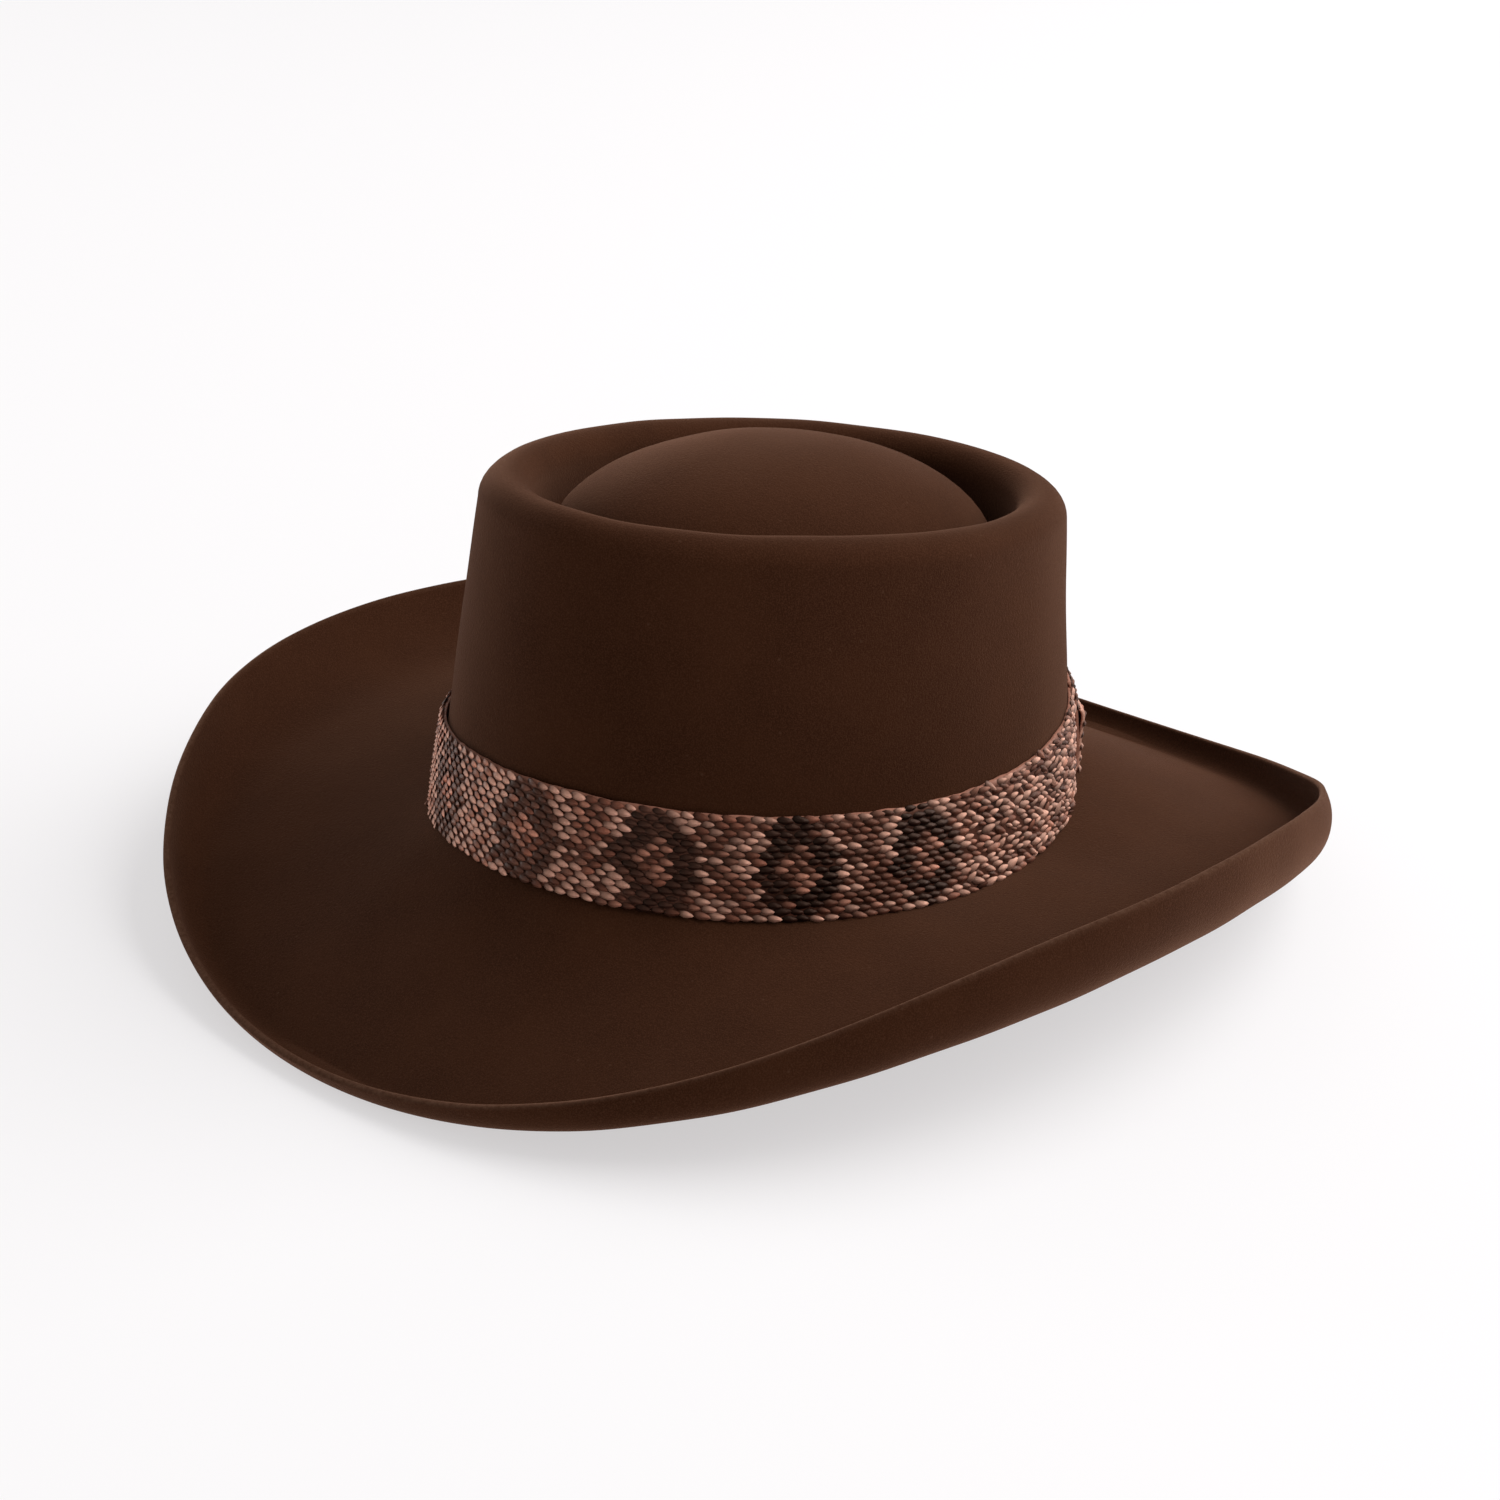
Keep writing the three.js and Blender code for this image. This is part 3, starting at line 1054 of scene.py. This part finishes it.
@dataclass
class ScaleField:
    """Rows of overlapping scales laid over a stretch of the band or of its keeper.

    The scatters and spreads are how unevenly the scales lie, and they grow in the rough stretch.
    """

    line: BandLine
    pattern: SnakePattern
    pitch: float = 4.05
    row_pitch: float = 1.95
    half_length: float = 2.3
    half_width: float = 1.1
    lift: float = 0.62
    lift_least: float = 0.7
    lift_spread: float = 0.6
    lift_rough: float = 0.5
    lift_power: float = 1.5
    edge_lift: float = 1.1
    sink: float = 0.12
    seed: int = 11
    rough_blend: float = 5.0
    rough_shrink: float = 0.12
    rough_turn: float = 0.5
    loose_least: float = 0.5
    loose_rough: float = 0.8
    scatter_along: float = 0.352
    scatter_up: float = 0.192
    turn_spread: float = 0.16
    size_spread: float = 0.09
    roll_spread: float = 0.1
    # painted light on each scale: a painted shade at its root and rim, a painted highlight towards
    # its tip
    painted_root_shade: float = 0.16
    painted_tip_highlight: float = 1.2
    painted_highlight_power: float = 1.2
    painted_rim_shade: float = 0.55
    shape: ScaleShape = field(default_factory=ScaleShape)

    def lay(
        self,
        start: float,
        end: float,
        low: float,
        high: float,
        rough_from: float | None,
    ) -> dict[str, np.ndarray]:
        """Chooses each scale's place, size, turn and lift.

        Args:
            start: the first distance along the band.
            end: the last distance along the band.
            low: the lowest row's height.
            high: the highest row's height.
            rough_from: where the plain, rough stretch starts, or None.

        Returns:
            Arrays by name, one value for each scale.
        """
        rng = np.random.default_rng(self.seed)
        columns = int(round((end - start) / self.pitch))
        rows = int(round((high - low) / self.row_pitch)) + 1
        row, column = np.meshgrid(np.arange(rows), np.arange(columns), indexing="ij")
        row = row.ravel()
        column = column.ravel()
        count = len(row)
        along = start + (column + 0.5 * (row % 2)) * (end - start) / columns
        up = low + row * (high - low) / (rows - 1)
        rough = np.zeros(count)
        if rough_from is not None:
            rough = smooth_step((along - rough_from) / self.rough_blend)
        loose = self.loose_least + self.loose_rough * rough
        turning = self.turn_spread * (1.0 + self.rough_turn * rough)
        values = {
            "along": along + rng.normal(0.0, self.scatter_along, count) * loose,
            "up": up + rng.normal(0.0, self.scatter_up, count) * loose,
            "turn": rng.normal(0.0, 1.0, count) * turning * loose,
            "size": 1.0 + rng.normal(0.0, self.size_spread, count) * (1.0 + rough),
            "lift": self.lift_least + self.lift_spread * rng.random(count),
            "gape": self.lift_rough * rough * rng.random(count) ** 2,
            "roll": rng.normal(0.0, self.roll_spread, count) * loose,
        }
        outermost = (row == 0) | (row == rows - 1)
        values["size"] -= self.rough_shrink * rough
        values["lift"] = (values["lift"] + values.pop("gape")) * self.lift
        values["lift"] += outermost * self.edge_lift * rng.random(count) ** 3
        level = up - self.line.height / 2
        values["colour"] = self.pattern.colours(along, level, rough, self.line.around, rng)
        return values

    def build(
        self,
        name: str,
        values: dict[str, np.ndarray],
        stand_off: np.ndarray,
        material: bpy.types.Material,
        slot: Slot,
    ) -> bpy.types.Object:
        """Makes one mesh of all the scales, bent to the band's curve.

        A scale's own point (x, y, z) is turned in the skin's face, its tip is lifted by its
        share of the length, and the result is placed along the band. Light and shade are painted
        on each scale: a painted shade at its root and its rim and a painted highlight at its tip.

        Args:
            name: the piece's name.
            values: what lay() gives.
            stand_off: how far the skin under each scale stands off the wall.
            material: the skin's finish.
            slot: the material slot that the finish belongs to.

        Returns:
            The piece.
        """
        shape = self.shape.points()
        size = values["size"][:, None]
        x = shape[:, 0] * self.half_length * size
        y = shape[:, 1] * self.half_width * size
        tip = (shape[:, 0] + 1.0) / 2.0
        raised = tip**self.lift_power * values["lift"][:, None]
        z = shape[:, 2] * size + raised + values["roll"][:, None] * y
        turn = values["turn"][:, None]
        along = values["along"][:, None] + x * np.cos(turn) - y * np.sin(turn)
        up = values["up"][:, None] + x * np.sin(turn) + y * np.cos(turn)
        points = self.line.place(along, up, stand_off[:, None] - self.sink + z).reshape(-1, 3)
        shift = (np.arange(len(size)) * len(shape))[:, None, None]
        faces = [(group[None] + shift).reshape(-1, group.shape[1]) for group in self.shape.faces()]
        piece = MeshPiece.make(name, points, faces, material, slot)
        # painted light: each scale is painted darker at its root and rim, where shade falls, and
        # lighter at its tip as a painted highlight
        root = self.painted_root_shade + self.painted_tip_highlight * tip**self.painted_highlight_power
        rim = np.where(np.arange(len(shape)) < self.shape.spokes, self.painted_rim_shade, 1.0)
        colour = values["colour"][:, None, :] * (root * rim)[None, :, None]
        MeshPiece.paint(piece, "skin_colour", colour.reshape(-1, 3))
        return piece


@dataclass
class SnakeskinBand:
    """The hatband: a folded strip of skin round the crown's foot, covered with scales."""

    line: BandLine
    pattern: SnakePattern
    seam: float = 150.0
    rough_start: float = 144.0
    scale_margin: float = 0.7
    columns: int = 720
    face_rows: int = 14
    back_margin: float = 0.3
    raggedness: float = 0.3
    ragged_radius: float = 95.0
    ragged_waves: Waves = Waves(seed=23, count=30, longest=40.0, shortest=5.0)
    ragged_power: int = 5
    patch_waves: Waves = Waves(seed=21, count=18, longest=30.0, shortest=4.0)
    patch_level: float = 0.4
    patch_swing: float = 0.3
    fold_reach: float = 0.9

    def build_strip(self, material: bpy.types.Material) -> bpy.types.Object:
        """Makes the strip under the scales, a closed ring with folded edges.

        Its section is the band's face and a straight back. Its edges go up and down by a random
        wave, which dies away towards the strip's middle by the fifth power of the height.

        Args:
            material: the skin's finish.

        Returns:
            The piece.
        """
        line = self.line
        share = np.linspace(0.0, 1.0, self.face_rows)
        up = (1.0 - np.cos(np.pi * share)) / 2.0 * line.height
        back = [line.height - self.back_margin, line.height * 0.5, self.back_margin]
        heights = np.concatenate([up, back])
        offsets = np.concatenate([line.face(up), np.full(len(back), line.form.fit_gap)])
        along = np.arange(self.columns) * (line.around / self.columns)
        angle = line.angle_at(along)
        circle = (np.cos(angle) * self.ragged_radius, np.sin(angle) * self.ragged_radius)
        ragged = self.ragged_waves.at(*circle) * self.raggedness
        lever = (2.0 * heights / line.height - 1.0) ** self.ragged_power
        wavy = heights[:, None] + lever[:, None] * ragged[None, :]
        points = line.place(along[None, :], wavy, offsets[:, None])
        rings = len(heights)
        ring = np.arange(self.columns)
        following = (ring + 1) % self.columns
        last = (rings - 1) * self.columns
        close = np.stack([last + ring, ring, following, last + following], axis=-1)
        faces = np.concatenate([ring_faces(rings, self.columns), close])[:, ::-1]
        flat = points.reshape(-1, 3)
        replaced = ("snakeskin_band",)
        piece = MeshPiece.make("band_strip", flat, [faces], material, Slot.SNAKESKIN, replaced)
        patch = self.patch_waves.at(along[None, :], heights[:, None]).clip(-1, 1)
        tone = (self.patch_level + self.patch_swing * patch)[..., None] * self.pattern.brown
        near = np.minimum(heights, line.height - heights).clip(0.0)
        fold = np.exp(-near / self.fold_reach)[:, None, None]
        tone = tone * (1.0 - fold) + self.pattern.tan * fold
        MeshPiece.paint(piece, "skin_colour", tone.reshape(-1, 3))
        return piece

    def build_scales(self, material: bpy.types.Material) -> bpy.types.Object:
        """Makes the band's scales, from the seam once round to it.

        Args:
            material: the skin's finish.

        Returns:
            The piece.
        """
        line = self.line
        scales = ScaleField(line, self.pattern)
        start = line.length_at(self.seam) - line.around
        top = line.height - self.scale_margin
        values = scales.lay(start, start + line.around, self.scale_margin, top, self.rough_start)
        stand_off = line.face(values["up"])
        return scales.build("band_scales", values, stand_off, material, Slot.SNAKESKIN)


@dataclass(frozen=True)
class SkinLayer:
    """One layer of the keeper: a strip that stands up the band's face and bends in at its top."""

    heights: tuple[float, ...]
    stand_off: tuple[float, ...]
    width: float
    thickness: float = 0.9
    fold_radius: float = 1.0
    fold_depth: float = 0.8
    slant: float = 0.0
    rows: int = 60
    columns: int = 41
    smoothing: tuple[float, ...] = (1.0, 2.0, 3.0, 4.0, 3.0, 2.0, 1.0)

    def section(self) -> tuple[np.ndarray, np.ndarray]:
        """The outer face from foot to top: straight lines through the knots, then smoothed.

        Returns:
            The height and the distance off the wall of each row.
        """
        knots = np.linspace(0.0, 1.0, len(self.heights))
        share = np.linspace(0.0, 1.0, self.rows)
        weights = np.array(self.smoothing) / sum(self.smoothing)
        lines = []
        for values in (self.heights, self.stand_off):
            line = np.interp(share, knots, values)
            padded = np.pad(line, len(weights) // 2, mode="reflect", reflect_type="odd")
            lines.append(np.convolve(padded, weights, mode="valid"))
        return lines[0], lines[1]

    def face(self, across: np.ndarray, up: np.ndarray) -> np.ndarray:
        """The outer face's distance off the wall, less a quarter round at the folded sides.

        Args:
            across: the place across the layer, from -1 to 1.
            up: the height over the band's foot.

        Returns:
            The distance at each place.
        """
        heights, offsets = self.section()
        fold = quarter_round((1.0 - np.abs(across)) * self.width / 2, self.fold_radius)
        return np.interp(up, heights, offsets) - fold * self.thickness * self.fold_depth


@dataclass(frozen=True)
class ScalePatch:
    """The scales on one layer of the keeper: their rows' heights and their shade."""

    name: str
    low: float
    high: float
    seed: int
    shade: float


@dataclass
class BandKeeper:
    """The keeper over the band's joint: a dark folded loop and the band's pale turned-out end."""

    line: BandLine
    pattern: SnakePattern
    place: float = 147.0
    loop: SkinLayer = SkinLayer(
        heights=(0.3, 5.0, 10.0, 15.0, 20.0, 24.0, 27.5, 30.0, 31.4),
        stand_off=(3.3, 3.9, 4.2, 4.2, 4.0, 3.6, 3.0, 2.1, 1.2),
        width=18.0,
    )
    turned_end: SkinLayer = SkinLayer(
        heights=(0.5, 4.0, 8.0, 12.0, 15.0, 17.5, 19.5, 21.0, 21.6),
        stand_off=(4.1, 4.7, 5.0, 5.2, 5.6, 6.0, 6.2, 5.9, 5.2),
        width=16.4,
        slant=1.6,
    )
    loop_patch: ScalePatch = ScalePatch("loop_scales", low=22.5, high=30.0, seed=17, shade=0.45)
    end_patch: ScalePatch = ScalePatch("end_scales", low=1.4, high=18.4, seed=19, shade=1.0)
    patch_waves: Waves = Waves(seed=31, count=16, longest=12.0, shortest=2.5)
    patch_level: float = 0.8
    patch_swing: float = 0.4
    side_thinning: float = 0.35
    side_power: int = 8
    edge_reach: float = 0.7
    near_margin: float = 1.6
    far_margin: float = 1.2

    def build_layer(
        self, name: str, layer: SkinLayer, tone: Rgb, edge_tone: Rgb, material: bpy.types.Material
    ) -> bpy.types.Object:
        """Makes one layer as a closed strip with an outer and an inner face.

        The layer's top slants down to one side, by the square of the height.

        Args:
            name: the piece's name.
            layer: the layer's section and width.
            tone: the colour of its face.
            edge_tone: the colour of its folded sides and top edge.
            material: the skin's finish.

        Returns:
            The piece.
        """
        line = self.line
        across = np.linspace(-1.0, 1.0, layer.columns)[None, :]
        heights = layer.section()[0][:, None]
        outer = layer.face(across, heights)
        thinning = self.side_thinning * np.abs(across) ** self.side_power
        inner = outer - layer.thickness * (1.0 - thinning)
        rise = heights - layer.slant * (0.5 + 0.5 * across) * (heights / heights[-1]) ** 2
        up = np.concatenate([rise, rise[::-1]])
        off = np.concatenate([outer, inner[::-1]])
        along = line.length_at(self.place) + across * layer.width / 2
        points = line.place(along, up, off)
        rings, columns = up.shape
        ring, column = np.meshgrid(np.arange(rings), np.arange(columns - 1), indexing="ij")
        here = ring * columns + column
        there = ((ring + 1) % rings) * columns + column
        sides = np.stack([here, here + 1, there + 1, there], axis=-1).reshape(-1, 4)
        half = np.arange(layer.rows - 1)
        mirror = rings - 1 - half
        left = np.stack([half, half + 1, mirror - 1, mirror], axis=-1) * columns
        right = (left + columns - 1)[:, ::-1]
        faces = [sides, left, right]
        flat = points.reshape(-1, 3)
        piece = MeshPiece.make(name, flat, faces, material, Slot.KEEPER_SKIN, ("band_keeper",))
        patch = self.patch_waves.at(points[..., 0], points[..., 1], points[..., 2]).clip(-1, 1)
        paint = (self.patch_level + self.patch_swing * patch)[..., None] * tone
        side = (1.0 - np.abs(across)) * layer.width / 2
        end = heights[-1] - np.concatenate([heights, heights[::-1]])
        edge = np.exp(-np.minimum(side, end) / self.edge_reach)[..., None]
        paint = paint * (1.0 - edge) + edge_tone * edge
        MeshPiece.paint(piece, "skin_colour", paint.reshape(-1, 3))
        return piece

    def build_loop(self, material: bpy.types.Material) -> bpy.types.Object:
        """Makes the dark loop."""
        pattern = self.pattern
        return self.build_layer("keeper_loop", self.loop, pattern.brown, pattern.tan, material)

    def build_end(self, material: bpy.types.Material) -> bpy.types.Object:
        """Makes the band's pale end, turned out over the loop."""
        pattern = self.pattern
        return self.build_layer("keeper_end", self.turned_end, pattern.tan, pattern.cream, material)

    def build_scales(
        self, patch: ScalePatch, layer: SkinLayer, material: bpy.types.Material
    ) -> bpy.types.Object:
        """Makes the scales on a layer's face, a little smaller than the band's.

        Args:
            patch: the scales' rows and shade.
            layer: the layer that carries them.
            material: the skin's finish.

        Returns:
            The piece.
        """
        line = self.line
        middle = line.length_at(self.place)
        reach = layer.width / 2
        scales = ScaleField(
            line, self.pattern, seed=patch.seed, half_length=2.0, half_width=1.05, lift=0.4
        )
        start, end = middle - reach + self.near_margin, middle + reach - self.far_margin
        values = scales.lay(start, end, patch.low, patch.high, None)
        values["colour"] = values["colour"] * patch.shade
        stand_off = layer.face((values["along"] - middle) / reach, values["up"])
        return scales.build(patch.name, values, stand_off, material, Slot.KEEPER_SKIN)


@dataclass(frozen=True)
class Lamp:
    """A square area light, in metres and watts."""

    name: str
    place: tuple[float, float, float]
    size: float
    power: float


@dataclass
class Studio:
    """The pale floor, the soft lights and the camera at the photograph's angle."""

    azimuth: float = 44.46
    elevation: float = 23.33
    distance: float = 1160.0
    aim: tuple[float, float, float] = (1.5, 1.5, 45.1)
    focal: float = 91.94
    sensor: float = 36.0
    floor_half: float = 6.0
    floor_colour: Rgba = (0.40, 0.394, 0.396, 1.0)
    floor_light: Rgba = (1.0, 0.982, 0.99, 1.0)
    floor_glow: float = 0.58
    floor_roughness: float = 0.95
    floor_shine: float = 0.1
    world_strength: float = 0.33
    lamp_aim: tuple[float, float, float] = (0.0, 0.0, 0.06)
    key: Lamp = Lamp("key", (1.2, 1.7, 1.9), 3.0, 110.0)
    rim: Lamp = Lamp("rim", (-1.9, -0.5, 0.4), 0.9, 8.0)

    def build_floor(self) -> None:
        """Makes the floor, a large pale matt sheet that is lit a little from below."""
        material, _, shader = new_material("pale_floor")
        sockets = {
            "Base Color": self.floor_colour,
            "Emission Color": self.floor_light,
            "Emission Strength": self.floor_glow,
            "Roughness": self.floor_roughness,
            "Specular IOR Level": self.floor_shine,
        }
        set_inputs(shader, sockets)
        half = self.floor_half
        corners = [(-half, -half, 0.0), (half, -half, 0.0), (half, half, 0.0), (-half, half, 0.0)]
        mesh = bpy.data.meshes.new("floor")
        mesh.from_pydata(corners, [], [(0, 1, 2, 3)])
        mesh.materials.append(material)
        floor = bpy.data.objects.new("floor", mesh)
        bpy.context.scene.collection.objects.link(floor)

    def add_light(self, lamp: Lamp) -> None:
        """Adds an area light that looks at the hat.

        Args:
            lamp: the light's name, place, size and power.
        """
        data = bpy.data.lights.new(lamp.name, "AREA")
        data.size = lamp.size
        data.energy = lamp.power
        light = bpy.data.objects.new(lamp.name, data)
        light.location = lamp.place
        aim = Vector(self.lamp_aim) - Vector(lamp.place)
        light.rotation_euler = aim.to_track_quat("-Z", "Y").to_euler()
        bpy.context.scene.collection.objects.link(light)

    def build_lights(self) -> None:
        """Hangs a broad light behind on the right, and a weak low one on the left."""
        world = bpy.data.worlds.new("studio")
        world.use_nodes = True
        sockets = {"Strength": self.world_strength, "Color": (1.0, 1.0, 1.0, 1.0)}
        set_inputs(world.node_tree.nodes["Background"], sockets)
        bpy.context.scene.world = world
        self.add_light(self.key)
        self.add_light(self.rim)
        bpy.context.scene.view_settings.view_transform = "Standard"

    def build_camera(self) -> None:
        """Sets the camera at the photograph's angle and distance."""
        azimuth, elevation = np.radians([self.azimuth, self.elevation])
        level = np.cos(elevation)
        back = Vector((np.sin(azimuth) * level, -np.cos(azimuth) * level, np.sin(elevation)))
        data = bpy.data.cameras.new("camera")
        data.lens = self.focal
        data.sensor_width = self.sensor
        camera = bpy.data.objects.new("camera", data)
        camera.location = (Vector(self.aim) + back * self.distance) * MM
        camera.rotation_mode = "QUATERNION"
        camera.rotation_quaternion = (-back).to_track_quat("-Z", "Y")
        bpy.context.scene.collection.objects.link(camera)
        bpy.context.scene.camera = camera


def main() -> None:
    """Builds the hat piece by piece, then the studio."""
    logging.basicConfig(level=logging.INFO, format="%(name)s: %(message)s")
    form = HatForm()
    felt = FeltBody(form).build(FeltFinish().material())
    line = BandLine(form)
    pattern = SnakePattern()
    group = DrySkin().group()
    skin = SkinFinish("band_skin").material(group)
    keeper_skin = SkinFinish("keeper_skin", gloss=0.5).material(group)
    band = SnakeskinBand(line, pattern)
    keeper = BandKeeper(line, pattern)
    pieces = [
        felt,
        band.build_strip(skin),
        band.build_scales(skin),
        keeper.build_loop(keeper_skin),
        keeper.build_end(keeper_skin),
        keeper.build_scales(keeper.loop_patch, keeper.loop, keeper_skin),
        keeper.build_scales(keeper.end_patch, keeper.turned_end, keeper_skin),
    ]
    for piece in pieces:
        LOG.info("%s: %d faces", piece.name, len(piece.data.polygons))
    studio = Studio()
    studio.build_floor()
    studio.build_lights()
    studio.build_camera()


if __name__ == "__main__":
    main()
